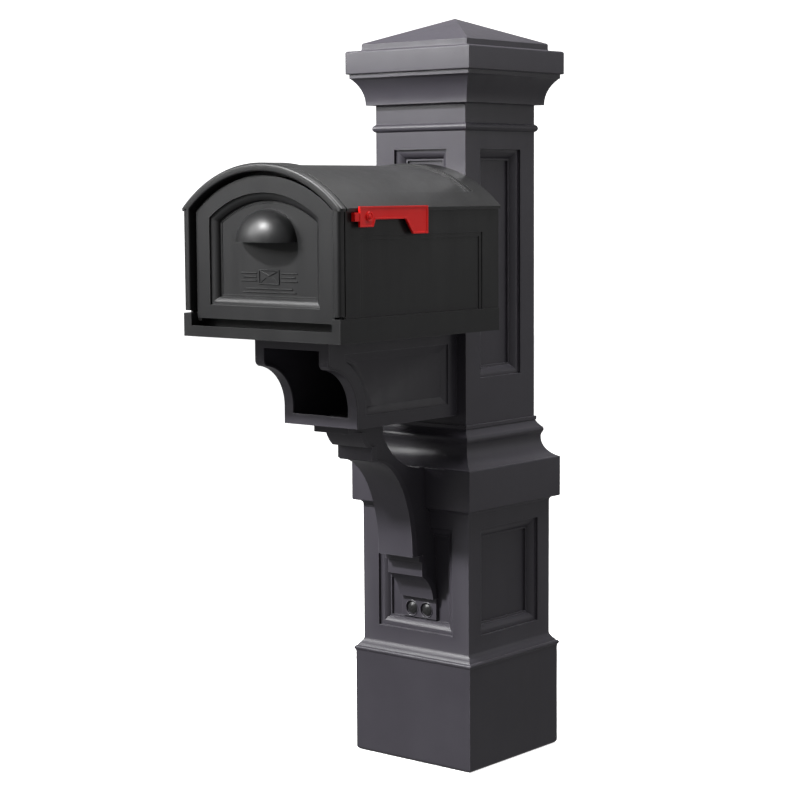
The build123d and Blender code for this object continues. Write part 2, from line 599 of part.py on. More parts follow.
# ---------------------------------------------------------------- newspaper holder
def holder_side(inset, front, rear, low, high):
    """Holder's side face: its S-curved front drawn in by an inset, the rest cut to straight limits."""
    beyond = 60.0
    set_back = HOLDER_SETBACK - HOLDER_ROUND
    rise = HOLDER_HEIGHT - HOLDER_RISE - HOLDER_ROUND - HOLDER_FOOT
    hollow = (set_back ** 2 + rise ** 2) / (2 * set_back)
    centre_y = HOLDER_FOOT_FRONT - hollow
    centre_z = HOLDER_BOTTOM + HOLDER_FOOT
    radius = hollow + inset
    nose = max(HOLDER_ROUND - inset, 1.0)
    nose_y = HOLDER_FRONT + inset + nose
    nose_z = centre_z + sqrt(radius ** 2 - (nose_y - centre_y) ** 2)
    middle = (centre_y + radius * cos(radians(40)), centre_z + radius * sin(radians(40)))
    with BuildSketch(Plane.YZ) as side:
        with BuildLine():
            foot = Line((centre_y + radius, low - beyond), (centre_y + radius, centre_z))
            curve = ThreePointArc(foot @ 1, middle, (nose_y, nose_z))
            tip = RadiusArc(curve @ 1, (nose_y - nose, nose_z + nose), nose)
            Polyline(tip @ 1, (nose_y - nose, high + beyond), (rear + beyond, high + beyond),
                     (rear + beyond, low - beyond), foot @ 0)
        make_face()
        with Locations(((front + rear) / 2, (low + high) / 2)):
            Rectangle(rear - front, high - low, mode=Mode.INTERSECT)
    return side.sketch


def holder_panel(ring):
    """Outline of the holder's sunk side panel, drawn in evenly by part of its ring."""
    low = HOLDER_BOTTOM + HOLDER_PANEL_BOTTOM_RAIL + ring
    high = HOLDER_TOP - HOLDER_PANEL_TOP_RAIL - ring
    return holder_side(HOLDER_PANEL_FRONT + ring, HOLDER_FRONT + HOLDER_PANEL_SETBACK + ring,
                       COLUMN_FACE - HOLDER_PANEL_REAR - ring, low, high)


def run_across(face, half):
    """Extrude a face drawn on the YZ plane evenly to both sides."""
    with BuildPart() as run:
        extrude(face, amount=half, both=True)
    return run.part


HOLDER_REAR = COLUMN_FACE - SEAT_GAP
SCREW_Y = (HOLDER_FRONT + 90.0, HOLDER_REAR - 60.0)
tray_screw_places = [(x, y) for x in (-TRAY_RIB_HALF, TRAY_RIB_HALF) for y in SCREW_Y]

panel_cut = run_across(holder_panel(0), 2 * HOLDER_HALF) & block(
    (HOLDER_HALF - HOLDER_PANEL_STEP, HOLDER_HALF + 1), (HOLDER_FRONT, 0), (HOLDER_BOTTOM, HOLDER_TOP))
panel_ring = loft([
    Pos(HOLDER_HALF - HOLDER_PANEL_STEP, 0, 0) * holder_panel(1.0).face(),
    Pos(HOLDER_HALF - HOLDER_PANEL_DEPTH, 0, 0) * holder_panel(HOLDER_PANEL_RING).face(),
], ruled=True)

with BuildPart() as holder_body:
    add(run_across(holder_side(RIM_THICKNESS + SEAT_GAP, HOLDER_FRONT, HOLDER_REAR,
                               HOLDER_BOTTOM, HOLDER_TOP), HOLDER_HALF))
    add(block((HOLDER_WALL + HOLDER_PANEL_DEPTH - HOLDER_HALF,
               HOLDER_HALF - HOLDER_WALL - HOLDER_PANEL_DEPTH),
              (HOLDER_FRONT, HOLDER_REAR - HOLDER_REAR_WALL),
              (HOLDER_BOTTOM + HOLDER_WALL, HOLDER_TOP - HOLDER_WALL)), mode=Mode.SUBTRACT)
    add(block((HOLDER_WALL - HOLDER_HALF, HOLDER_HALF - HOLDER_WALL),
              (COLUMN_FACE - HOLDER_PANEL_REAR + HOLDER_WALL, HOLDER_REAR - HOLDER_REAR_WALL),
              (HOLDER_BOTTOM + HOLDER_WALL, HOLDER_TOP - HOLDER_WALL)), mode=Mode.SUBTRACT)
    for cut in (panel_cut, panel_ring):
        add(cut, mode=Mode.SUBTRACT)
        add(mirror(cut, about=Plane.YZ, mode=Mode.PRIVATE), mode=Mode.SUBTRACT)
    with Locations(*[(x, y, HOLDER_TOP - HOLDER_WALL) for x, y in tray_screw_places]):
        Cylinder(2.4 * SCREW_RADIUS, 12, align=(Align.CENTER, Align.CENTER, Align.MAX))
    with Locations(*[(x, y, HOLDER_TOP) for x, y in tray_screw_places]):
        Hole(SCREW_RADIUS, depth=HOLDER_WALL + 12)
    for x, z in holder_bolt_places:
        with Locations(Plane(origin=(x, HOLDER_REAR - HOLDER_REAR_WALL, z), z_dir=(0, -1, 0))):
            Hole(HOLDER_BOLT_RADIUS, depth=HOLDER_REAR_WALL)
holder_body.part.label = "holder_body"
export_step(holder_body.part, "parts/holder_body.step")

rim_outer = run_across(holder_side(0, HOLDER_FRONT - 1, HOLDER_REAR, HOLDER_BOTTOM, HOLDER_TOP),
                       HOLDER_HALF + RIM_PROUD)
rim_inner = run_across(holder_side(RIM_THICKNESS, HOLDER_FRONT, HOLDER_REAR + 1,
                                   HOLDER_BOTTOM - 1, HOLDER_TOP + 1), 2 * HOLDER_HALF)
with BuildPart() as holder_front_frame:
    add(rim_outer)
    add(rim_inner, mode=Mode.SUBTRACT)
    add(block((-HOLDER_HALF + RIM_WIDTH, HOLDER_HALF - RIM_WIDTH), (HOLDER_FRONT - 1, HOLDER_REAR),
              (HOLDER_BOTTOM + RIM_WIDTH - 1.5, HOLDER_TOP - RIM_WIDTH)), mode=Mode.SUBTRACT)
holder_front_frame.part.label = "holder_front_frame"
export_step(holder_front_frame.part, "parts/holder_front_frame.step")


# ---------------------------------------------------------------- through bolts and screws
def through_bolts(name, seats, axis, radius, head_radius, head_height, length):
    """Domed bolts, one solid each: the head outside its seat and the shank running the other way."""
    outward = Vector(axis)
    with BuildPart() as bolts:
        for seat in seats:
            with Locations(Plane(origin=seat, z_dir=axis)):
                Cylinder(head_radius, head_height * 0.35, align=(Align.CENTER, Align.CENTER, Align.MIN))
            with Locations(Plane(origin=Vector(seat) + outward * head_height * 0.35, z_dir=axis)):
                Cone(head_radius, head_radius * 0.45, head_height * 0.65,
                     align=(Align.CENTER, Align.CENTER, Align.MIN))
            with Locations(Plane(origin=seat, z_dir=axis)):
                Cylinder(radius, length, align=(Align.CENTER, Align.CENTER, Align.MAX))
    bolts.part.label = name
    export_step(bolts.part, f"parts/{name}.step")


def nuts(name, places, axis, bore, radius, height):
    """Hexagon nuts, one solid each, standing on a face and reaching along the axis."""
    with BuildPart() as group:
        for place in places:
            with BuildSketch(Plane(origin=place, z_dir=axis)):
                RegularPolygon(radius, 6)
                Circle(bore, mode=Mode.SUBTRACT)
            extrude(amount=height)
    group.part.label = name
    export_step(group.part, f"parts/{name}.step")


holder_bolt_seats = [(x, HOLDER_REAR - HOLDER_REAR_WALL, z) for x, z in holder_bolt_places]
holder_bolt_length = HOLDER_REAR_WALL + SEAT_GAP + POST_WALL + NUT_HEIGHT + 2
through_bolts("holder_bolts", holder_bolt_seats, (0, -1, 0), HOLDER_BOLT_RADIUS - SHAFT_CLEARANCE,
              2 * HOLDER_BOLT_RADIUS, 4, holder_bolt_length)
nuts("holder_nuts", [(x, COLUMN_FACE + POST_WALL, z) for x, z in holder_bolt_places], (0, 1, 0),
     HOLDER_BOLT_RADIUS, NUT_RADIUS, NUT_HEIGHT)


# ---------------------------------------------------------------- corbel
CORBEL_TOP = HOLDER_BOTTOM - SEAT_GAP
CORBEL_FRONT = -BAND_HALF - CORBEL_REACH
BAND_FACE = -BAND_HALF - SEAT_GAP
BOX_FACE = -BOX_HALF - SEAT_GAP
PAD_BACK = PANEL_FIELD - SEAT_GAP
PAD_FRONT = PAD_BACK - PAD_THICKNESS
PAD_BOTTOM = BOLT_Z - BOLT_SEAT_RADIUS - 3.0
PAD_TOP = BOLT_Z + BOLT_SEAT_RADIUS + 11.0


def corbel_side():
    """Corbel's side outline: top plate, ovolo, block, hollow-curved arm and foot, and its back."""
    plate_foot = CORBEL_TOP - CORBEL_PLATE_HEIGHT
    ovolo_front = CORBEL_FRONT + CORBEL_OVOLO_SETBACK
    block_front = ovolo_front + CORBEL_BLOCK_SETBACK
    block_top = plate_foot - CORBEL_OVOLO_HEIGHT
    arm_top = block_top - CORBEL_BLOCK_HEIGHT - 3
    arm_start = block_front + 4
    arm_foot = PANEL_FIELD - ARM_FOOT_REACH
    arm_bottom = arm_top - ARM_DROP
    plate_front = PANEL_FIELD - FOOT_PLATE_REACH
    foot_front = PANEL_FIELD - FOOT_BLOCK_REACH
    back_top = CORBEL_FRONT + CORBEL_BACK_SETBACK
    panel_edge = BOX_PANEL_TOP - SEAT_GAP
    with BuildSketch(Plane.YZ) as side:
        with BuildLine():
            plate = Polyline((back_top, CORBEL_TOP), (CORBEL_FRONT, CORBEL_TOP), (CORBEL_FRONT, plate_foot),
                             (ovolo_front, plate_foot))
            ovolo = ThreePointArc(plate @ 1, (ovolo_front + 6, plate_foot - 14),
                                  (ovolo_front + CORBEL_OVOLO_REACH, block_top))
            Polyline(ovolo @ 1, (block_front, block_top), (block_front, arm_top + 3),
                     (arm_start, arm_top + 3), (arm_start, arm_top))
            EllipticalCenterArc((arm_start, arm_bottom), arm_foot - arm_start, arm_top - arm_bottom,
                                start_angle=0, arc_size=90)
            foot = Polyline((arm_foot, arm_bottom), (arm_foot, arm_bottom - 6), (plate_front, arm_bottom - 6),
                            (plate_front, arm_bottom - 18), (foot_front, arm_bottom - 20),
                            (foot_front, arm_bottom - 48))
            tail = ThreePointArc(foot @ 1, (PANEL_FIELD - 27, arm_bottom - 70), (PANEL_FIELD - 17, PAD_TOP))
            pad = Polyline(tail @ 1, (PAD_FRONT, PAD_TOP), (PAD_FRONT, PAD_BOTTOM), (PAD_BACK, PAD_BOTTOM),
                           (PAD_BACK, panel_edge - RING_WIDTH - LEDGE_WIDTH),
                           (BOX_FACE + RING_DEPTH + 0.8, panel_edge - RING_WIDTH - LEDGE_WIDTH),
                           (BOX_FACE + RING_DEPTH + 0.8, panel_edge - RING_WIDTH),
                           (BOX_FACE + RING_DEPTH, panel_edge - RING_WIDTH))
            ring = ThreePointArc(pad @ 1, (BOX_FACE + (PANEL_STEP + RING_DEPTH) / 2 - 2.2,
                                           panel_edge - RING_WIDTH / 2 - 1.6),
                                 (BOX_FACE + PANEL_STEP, panel_edge - 0.8))
            back = Polyline(ring @ 1, (BOX_FACE + PANEL_STEP, panel_edge), (BOX_FACE, panel_edge),
                            (BOX_FACE, BAND_BOTTOM - 8.5), (BOX_FACE - 4.8, BAND_BOTTOM - 0.8),
                            (BAND_FACE + 2, BAND_BOTTOM + 0.9), (BAND_FACE, BAND_BOTTOM + 4),
                            (BAND_FACE, BAND_TOP))
            rear_arc = ThreePointArc(back @ 1, (BAND_FACE - 75, BAND_TOP + 20), (back_top, CORBEL_TOP - 27))
            Line(rear_arc @ 1, plate @ 0)
        make_face()
    return side.sketch


corbel_profile = corbel_side()
corbel_core = Pos(0, CORBEL_SKIN, 0) * run_across(corbel_profile, 2 * CORBEL_HALF)
bolt_seats = [(side * BOLT_SPACING / 2, PAD_FRONT + BOLT_SEAT_DEPTH, BOLT_Z) for side in (-1, 1)]
with BuildPart() as corbel:
    add(run_across(corbel_profile, CORBEL_HALF))
    add(corbel_core, mode=Mode.SUBTRACT)
    add(run_across(corbel_profile, CORBEL_CHEEK_HALF))
    add(corbel_core & block((CORBEL_WALL - CORBEL_CHEEK_HALF, CORBEL_CHEEK_HALF - CORBEL_WALL),
                            (CORBEL_FRONT, 0), (PAD_TOP, CORBEL_TOP - CORBEL_PLATE_HEIGHT)),
        mode=Mode.SUBTRACT)
    for seat in bolt_seats:
        with Locations(Plane(origin=seat, z_dir=(0, -1, 0))):
            Cylinder(BOLT_SEAT_RADIUS, PAD_THICKNESS, align=(Align.CENTER, Align.CENTER, Align.MIN),
                     mode=Mode.SUBTRACT)
            Hole(BOLT_RADIUS, depth=PAD_THICKNESS)
corbel.part.label = "corbel"
export_step(corbel.part, "parts/corbel.step")

nut_face = PANEL_BACKING - BOX_HALF
corbel_bolt_length = nut_face - bolt_seats[0][1] + NUT_HEIGHT + 3
through_bolts("corbel_bolts", bolt_seats, (0, -1, 0), BOLT_RADIUS - SHAFT_CLEARANCE, BOLT_HEAD_RADIUS, 5,
              corbel_bolt_length)
nuts("corbel_nuts", [(x, nut_face, z) for x, _, z in bolt_seats], (0, 1, 0), BOLT_RADIUS,
     BOLT_HEAD_RADIUS - 1.5, 1.4 * NUT_HEIGHT)


# ---------------------------------------------------------------- mailbox tray
TRAY_HALF = BOX_WIDTH_HALF + TRAY_PROUD
TRAY_REAR = MAILBOX_REAR - SEAT_GAP
LIP_HALF = DOOR_HALF + 5.0
TRAY_UNDERSIDE = TRAY_TOP - TRAY_FLOOR_THICKNESS
TROUGH_FLOOR = TRAY_BOTTOM + 7.0
SCREW_SEAT = TRAY_BOTTOM + 15.0
shell_screw_y = [MAILBOX_FRONT + share * MAILBOX_DEPTH for share in (0.2, 0.55, 0.9)]
shell_screw_places = [(side * (SHELL_INNER_HALF - 10), y) for side in (-1, 1) for y in shell_screw_y]

with BuildPart() as mailbox_tray:
    add(block((-TRAY_HALF, TRAY_HALF), (MAILBOX_FRONT, TRAY_REAR), (TRAY_BOTTOM, TRAY_TOP)))
    add(block((TRAY_WALL - TRAY_HALF, TRAY_HALF - TRAY_WALL),
              (INSERT_BACK + TRAY_WALL, TRAY_REAR - TRAY_WALL), (TRAY_BOTTOM, TRAY_UNDERSIDE)),
        mode=Mode.SUBTRACT)
    add(block((-LIP_HALF, LIP_HALF), (MAILBOX_FRONT, INSERT_BACK), (TRAY_LIP_TOP, TRAY_TOP)),
        mode=Mode.SUBTRACT)
    add(block((-LIP_HALF, LIP_HALF), (MAILBOX_FRONT + TRAY_WALL, INSERT_BACK), (TROUGH_FLOOR, TRAY_TOP)),
        mode=Mode.SUBTRACT)
    add(block((-LIP_HALF, LIP_HALF), (MAILBOX_FRONT + TRAY_WALL, INSERT_BACK),
              (TRAY_BOTTOM, TROUGH_FLOOR - TRAY_WALL)), mode=Mode.SUBTRACT)
    for x in (-TRAY_RIB_HALF, TRAY_RIB_HALF):
        add(block((x - 3, x + 3), (INSERT_BACK, TRAY_REAR), (TRAY_BOTTOM, TRAY_UNDERSIDE + 1)))
    with Locations(*[(x, y, TRAY_BOTTOM) for x, y in tray_screw_places]):
        Cylinder(SCREW_HEAD_RADIUS + 4, TRAY_HEIGHT, align=(Align.CENTER, Align.CENTER, Align.MIN))
    with Locations(*[(x, y, SCREW_SEAT) for x, y in tray_screw_places]):
        Cylinder(SCREW_HEAD_RADIUS + 1, TRAY_HEIGHT, align=(Align.CENTER, Align.CENTER, Align.MIN),
                 mode=Mode.SUBTRACT)
        Hole(SCREW_RADIUS, depth=TRAY_HEIGHT)
    with Locations(*[(x, y, TRAY_TOP) for x, y in shell_screw_places]):
        Hole(SCREW_RADIUS, depth=TRAY_FLOOR_THICKNESS)
    for side in (-1, 1):
        add(rod((side * LIP_HALF, HINGE_Y, HINGE_Z), (side, 0, 0), HINGE_PIN_RADIUS, 13), mode=Mode.SUBTRACT)
mailbox_tray.part.label = "mailbox_tray"
export_step(mailbox_tray.part, "parts/mailbox_tray.step")

through_bolts("tray_screws", [(x, y, SCREW_SEAT) for x, y in tray_screw_places], (0, 0, 1),
              SCREW_RADIUS - SHAFT_CLEARANCE, SCREW_HEAD_RADIUS, SCREW_HEAD_HEIGHT, 25)

with BuildPart() as hinge_pins:
    for side in (-1, 1):
        add(rod((side * (DOOR_HALF - HINGE_LUG_WIDTH), HINGE_Y, HINGE_Z), (side, 0, 0),
                HINGE_PIN_RADIUS - SHAFT_CLEARANCE, HINGE_LUG_WIDTH + LIP_HALF - DOOR_HALF + 12))
hinge_pins.part.label = "hinge_pins"
export_step(hinge_pins.part, "parts/hinge_pins.step")


# ---------------------------------------------------------------- mailbox shell
SHELL_FOOT = TRAY_TOP + SEAT_GAP
SHELL_FRONT = FRAME_BACK + FRAME_SEAM
SHELL_REAR = MAILBOX_REAR - SEAT_GAP
ROOF_PANEL_Y = (MAILBOX_FRONT + ROOF_PANEL_FRONT, MAILBOX_REAR - ROOF_PANEL_REAR)
ROOF_GROOVE_Y = ROOF_PANEL_Y[1] + ROOF_GROOVE_GAP
SIDE_PANEL_Y = (MAILBOX_FRONT + SIDE_PANEL_FRONT, MAILBOX_REAR - SIDE_PANEL_REAR)
rear_screw_z = (SHELL_FOOT + 30, EAVE - 40)
rear_screw_places = [(side * (SHELL_INNER_HALF - 10), z) for side in (-1, 1) for z in rear_screw_z]


def eaved_run(foot, front, back):
    """The mailbox's solid outside shape between two depths, with its projecting eaves."""
    with BuildPart() as run:
        add(run_back(arched_face(BOX_WIDTH_HALF, foot, 0), front, back))
        add(run_back(arch_band(EAVE_HALF, 0, EAVE_LIP), front, back))
    return run.part


with BuildPart() as mailbox_shell:
    add(eaved_run(SHELL_FOOT, SHELL_FRONT, SHELL_REAR))
    add(run_back(arched_face(SHELL_INNER_HALF, SHELL_FOOT - 1, ROOF_THICKNESS),
                 SHELL_FRONT - 1, SHELL_REAR + 1), mode=Mode.SUBTRACT)
    add(run_back(arch_band(ROOF_PANEL_HALF, -1, ROOF_PANEL_DEPTH + 1), *ROOF_PANEL_Y), mode=Mode.SUBTRACT)
    add(run_back(arch_band(ROOF_PANEL_HALF, -1, ROOF_GROOVE_DEPTH + 1),
                 ROOF_GROOVE_Y, ROOF_GROOVE_Y + ROOF_GROOVE_WIDTH), mode=Mode.SUBTRACT)
    for side in (-1, 1):
        face = side * BOX_WIDTH_HALF
        for depth, margin in ((SIDE_PANEL_STEP, 0), (SIDE_PANEL_DEPTH, SIDE_PANEL_STEP_WIDTH)):
            add(block(sorted((face, face - side * depth)),
                      (SIDE_PANEL_Y[0] + margin, SIDE_PANEL_Y[1] - margin),
                      (SHELL_FOOT, EAVE - SIDE_PANEL_BELOW_EAVE - margin)), mode=Mode.SUBTRACT)
        inner = side * (SHELL_INNER_HALF + 1)
        for y in shell_screw_y:
            add(block(sorted((inner, inner - side * 19)), (y - 9, y + 9),
                      (SHELL_FOOT, SHELL_FOOT + BOSS_HEIGHT)))
        for z in rear_screw_z:
            add(block(sorted((inner, inner - side * 19)),
                      (SHELL_REAR - REAR_PANEL_THICKNESS - SEAT_GAP - BOSS_HEIGHT,
                       SHELL_REAR - REAR_PANEL_THICKNESS - SEAT_GAP), (z - 9, z + 9)))
    for x, y in shell_screw_places:
        add(rod((x, y, SHELL_FOOT), (0, 0, 1), SCREW_RADIUS, BOSS_HEIGHT), mode=Mode.SUBTRACT)
    for x, z in rear_screw_places:
        add(rod((x, SHELL_REAR, z), (0, -1, 0), SCREW_RADIUS, 2 * BOSS_HEIGHT), mode=Mode.SUBTRACT)
    add(rod((SHELL_INNER_HALF - 1, FLAG_Y, FLAG_Z), (1, 0, 0), FLAG_PIN_RADIUS, SIDE_THICKNESS + 2),
        mode=Mode.SUBTRACT)
mailbox_shell.part.label = "mailbox_shell"
export_step(mailbox_shell.part, "parts/mailbox_shell.step")

through_bolts("shell_screws", [(x, y, TRAY_UNDERSIDE) for x, y in shell_screw_places], (0, 0, -1),
              SCREW_RADIUS - SHAFT_CLEARANCE, SCREW_HEAD_RADIUS, SCREW_HEAD_HEIGHT,
              TRAY_FLOOR_THICKNESS + BOSS_HEIGHT - 2)

with BuildPart() as rear_panel:
    add(run_back(arched_face(INSERT_HALF, SHELL_FOOT, INSERT_INSET),
                 SHELL_REAR - REAR_PANEL_THICKNESS, SHELL_REAR))
    for x, z in rear_screw_places:
        add(rod((x, SHELL_REAR, z), (0, -1, 0), SCREW_RADIUS, REAR_PANEL_THICKNESS), mode=Mode.SUBTRACT)
rear_panel.part.label = "rear_panel"
export_step(rear_panel.part, "parts/rear_panel.step")

through_bolts("rear_panel_screws", [(x, SHELL_REAR, z) for x, z in rear_screw_places], (0, 1, 0),
              SCREW_RADIUS - SHAFT_CLEARANCE, SCREW_HEAD_RADIUS, SCREW_HEAD_HEIGHT,
              REAR_PANEL_THICKNESS + BOSS_HEIGHT - 2)


# ---------------------------------------------------------------- front frame and catch magnet
MAGNET_Z = CREST - DOOR_INSET - MAGNET_BELOW_CREST
MAGNET_FACE = DOOR_BACK + SEAT_GAP
magnet_space = block((-MAGNET_WIDTH / 2, MAGNET_WIDTH / 2), (MAGNET_FACE, MAGNET_FACE + MAGNET_THICKNESS),
                     (MAGNET_Z - MAGNET_HEIGHT / 2, MAGNET_Z + MAGNET_HEIGHT / 2))

with BuildPart() as front_frame:
    add(eaved_run(FRAME_FOOT, MAILBOX_FRONT, FRAME_BACK))
    add(run_back(arched_face(INSERT_HALF, FRAME_FOOT, INSERT_INSET), FRAME_BACK, INSERT_BACK))
    add(run_back(arched_face(BOX_WIDTH_HALF - FRAME_BAND, FRAME_FOOT, FRAME_BAND), MAILBOX_FRONT, STOP_FACE),
        mode=Mode.SUBTRACT)
    add(run_back(arched_face(INSERT_HALF - STOP_WIDTH, FRAME_FOOT, INSERT_INSET + STOP_WIDTH), STOP_FACE,
                 INSERT_BACK), mode=Mode.SUBTRACT)
    add(block((-MAGNET_WIDTH / 2 - 3, MAGNET_WIDTH / 2 + 3), (STOP_FACE, MAGNET_FACE + MAGNET_THICKNESS),
              (MAGNET_Z - MAGNET_HEIGHT / 2 - 3, CREST - INSERT_INSET - 4)))
    add(magnet_space, mode=Mode.SUBTRACT)
front_frame.part.label = "front_frame"
export_step(front_frame.part, "parts/front_frame.step")

with BuildPart() as catch_magnet:
    add(magnet_space)
catch_magnet.part.label = "catch_magnet"
export_step(catch_magnet.part, "parts/catch_magnet.step")


# ---------------------------------------------------------------- door
DOOR_PANEL_HALF = DOOR_HALF - DOOR_PANEL_RAIL
DOOR_PANEL_LOW = DOOR_FOOT + DOOR_PANEL_FOOT
DOOR_PANEL_INSET = DOOR_INSET + DOOR_PANEL_CROWN
DOOR_FIELD = DOOR_FACE + DOOR_PANEL_DEPTH
PULL_FOOT = DOOR_FOOT + PULL_ABOVE_FOOT
pull_screw_places = [(side * 0.6 * PULL_HALF, PULL_FOOT + 0.3 * PULL_HEIGHT) for side in (-1, 1)]


def door_opening(ring):
    """Outline of the door's sunk panel, drawn in evenly by part of its ring."""
    return arched_face(DOOR_PANEL_HALF - ring, DOOR_PANEL_LOW + ring, DOOR_PANEL_INSET + ring)


ring_angles = [90 * share / 4 for share in range(5)]
ring_faces = [
    Pos(0, DOOR_FACE + DOOR_PANEL_STEP + DOOR_RING_DEPTH * (1 - cos(radians(angle))), 0)
    * door_opening(DOOR_RING_WIDTH * sin(radians(angle))).face()
    for angle in ring_angles
]
door_ring = loft(ring_faces, ruled=True)
with BuildPart() as door:
    add(run_back(arched_face(DOOR_HALF, DOOR_FOOT, DOOR_INSET), DOOR_FACE, DOOR_BACK))
    add(run_back(arched_face(DOOR_HALF - DOOR_WALL, DOOR_FOOT + DOOR_WALL, DOOR_INSET + DOOR_WALL),
                 DOOR_FACE + DOOR_WALL, DOOR_BACK), mode=Mode.SUBTRACT)
    add(run_back(door_opening(-DOOR_WALL), DOOR_FACE + 1, DOOR_BACK))
    add(run_back(door_opening(0), DOOR_FACE, DOOR_FACE + DOOR_PANEL_STEP), mode=Mode.SUBTRACT)
    add(door_ring, mode=Mode.SUBTRACT)
    add(run_back(door_opening(DOOR_RING_WIDTH + DOOR_LEDGE), DOOR_FACE, DOOR_FIELD), mode=Mode.SUBTRACT)
    add(block((-MAGNET_WIDTH / 2 - 3, MAGNET_WIDTH / 2 + 3),
              (DOOR_FACE + 1, DOOR_BACK - CATCH_PLATE_THICKNESS),
              (MAGNET_Z - MAGNET_HEIGHT / 2 - 3, MAGNET_Z + MAGNET_HEIGHT / 2 + 3)))
    for side in (-1, 1):
        add(rod((side * (DOOR_HALF - HINGE_LUG_WIDTH), HINGE_Y, HINGE_Z), (side, 0, 0), HINGE_LUG_RADIUS,
                HINGE_LUG_WIDTH))
        add(rod((side * (DOOR_HALF - HINGE_LUG_WIDTH), HINGE_Y, HINGE_Z), (side, 0, 0), HINGE_PIN_RADIUS,
                HINGE_LUG_WIDTH), mode=Mode.SUBTRACT)
    for x, z in pull_screw_places:
        add(rod((x, DOOR_BACK, z), (0, -1, 0), SCREW_RADIUS, DOOR_DEPTH), mode=Mode.SUBTRACT)
door.part.label = "door"
export_step(door.part, "parts/door.step")

with BuildPart() as catch_plate:
    add(block((-MAGNET_WIDTH / 2, MAGNET_WIDTH / 2), (DOOR_BACK - CATCH_PLATE_THICKNESS, DOOR_BACK),
              (MAGNET_Z - MAGNET_HEIGHT / 2, MAGNET_Z + MAGNET_HEIGHT / 2)))
catch_plate.part.label = "catch_plate"
export_step(catch_plate.part, "parts/catch_plate.step")


def ellipsoid(half_width, reach, height):
    """An ellipsoid about the middle of the pull's open foot."""
    with BuildPart() as body:
        Sphere(1)
        scale(by=(half_width, reach, height))
    return Pos(0, DOOR_FIELD, PULL_FOOT) * body.part


with BuildPart() as door_pull:
    add(ellipsoid(PULL_HALF, PULL_REACH, PULL_HEIGHT))
    add(ellipsoid(PULL_HALF - PULL_WALL, PULL_REACH - PULL_WALL, PULL_HEIGHT - PULL_WALL), mode=Mode.SUBTRACT)
    for x, z in pull_screw_places:
        add(rod((x, DOOR_FIELD, z), (0, -1, 0), SCREW_HEAD_RADIUS, 0.6 * PULL_REACH)
            & ellipsoid(PULL_HALF - 1, PULL_REACH - 1, PULL_HEIGHT - 1))
    add(block((-PULL_HALF, PULL_HALF), (DOOR_FIELD - PULL_REACH, DOOR_FIELD - SEAT_GAP),
              (PULL_FOOT, PULL_FOOT + PULL_HEIGHT)), mode=Mode.INTERSECT)
    for x, z in pull_screw_places:
        add(rod((x, DOOR_FIELD, z), (0, -1, 0), SCREW_RADIUS, 12), mode=Mode.SUBTRACT)
door_pull.part.label = "door_pull"
export_step(door_pull.part, "parts/door_pull.step")

through_bolts("door_pull_screws", [(x, DOOR_BACK, z) for x, z in pull_screw_places], (0, 1, 0),
              SCREW_RADIUS - SHAFT_CLEARANCE, SCREW_HEAD_RADIUS, SCREW_HEAD_HEIGHT, 13)


# ---------------------------------------------------------------- flag
FLAG_TOP = EAVE + FLAG_TOP_ABOVE_EAVE
FLAG_END = FLAG_Y + FLAG_LENGTH
ARM_BOTTOM = FLAG_TOP - FLAG_ARM_DEPTH
HUB_BOTTOM = FLAG_TOP - FLAG_HUB_DEPTH
BLADE_BOTTOM = FLAG_TOP - FLAG_BLADE_DEPTH
BLADE_START = FLAG_END - FLAG_BLADE_WIDTH
FLAG_FACE = FLAG_BACK + FLAG_THICKNESS
flag_outline = [
    (FLAG_Y - FLAG_HUB_FRONT, FLAG_TOP),
    (FLAG_Y - FLAG_HUB_FRONT, HUB_BOTTOM),
    (FLAG_Y + FLAG_HUB_REAR - 6, HUB_BOTTOM),
    (FLAG_Y + FLAG_HUB_REAR, ARM_BOTTOM),
    (BLADE_START - FLAG_SLOPE, ARM_BOTTOM),
    (BLADE_START, BLADE_BOTTOM),
    (FLAG_END, BLADE_BOTTOM),
    (FLAG_END, FLAG_TOP),
]
with BuildPart() as flag:
    with BuildSketch(Plane.YZ.offset(FLAG_BACK)):
        with BuildLine():
            Polyline(*flag_outline, close=True)
        make_face()
    extrude(amount=FLAG_THICKNESS)
    with BuildSketch(Plane.YZ.offset(FLAG_FACE - FLAG_SINK)):
        with BuildLine():
            Polyline(*flag_outline, close=True)
        make_face()
        offset(amount=-FLAG_BORDER, kind=Kind.INTERSECTION, mode=Mode.REPLACE)
    extrude(amount=FLAG_SINK, mode=Mode.SUBTRACT)
    add(rod((BOX_WIDTH_HALF + SEAT_GAP, FLAG_Y, FLAG_Z), (1, 0, 0), FLAG_BOSS_RADIUS,
            FLAG_FACE - BOX_WIDTH_HALF - SEAT_GAP))
    add(block((BOX_WIDTH_HALF + 1.2, FLAG_FACE - FLAG_SINK),
              (FLAG_Y - FLAG_HUB_FRONT - 12, FLAG_Y - FLAG_HUB_FRONT + 2), (FLAG_Z - 8.4, FLAG_Z + 6.6)))
    add(rod((BOX_WIDTH_HALF, FLAG_Y, FLAG_Z), (1, 0, 0), FLAG_PIN_RADIUS, FLAG_FACE), mode=Mode.SUBTRACT)
flag.part.label = "flag"
export_step(flag.part, "parts/flag.step")

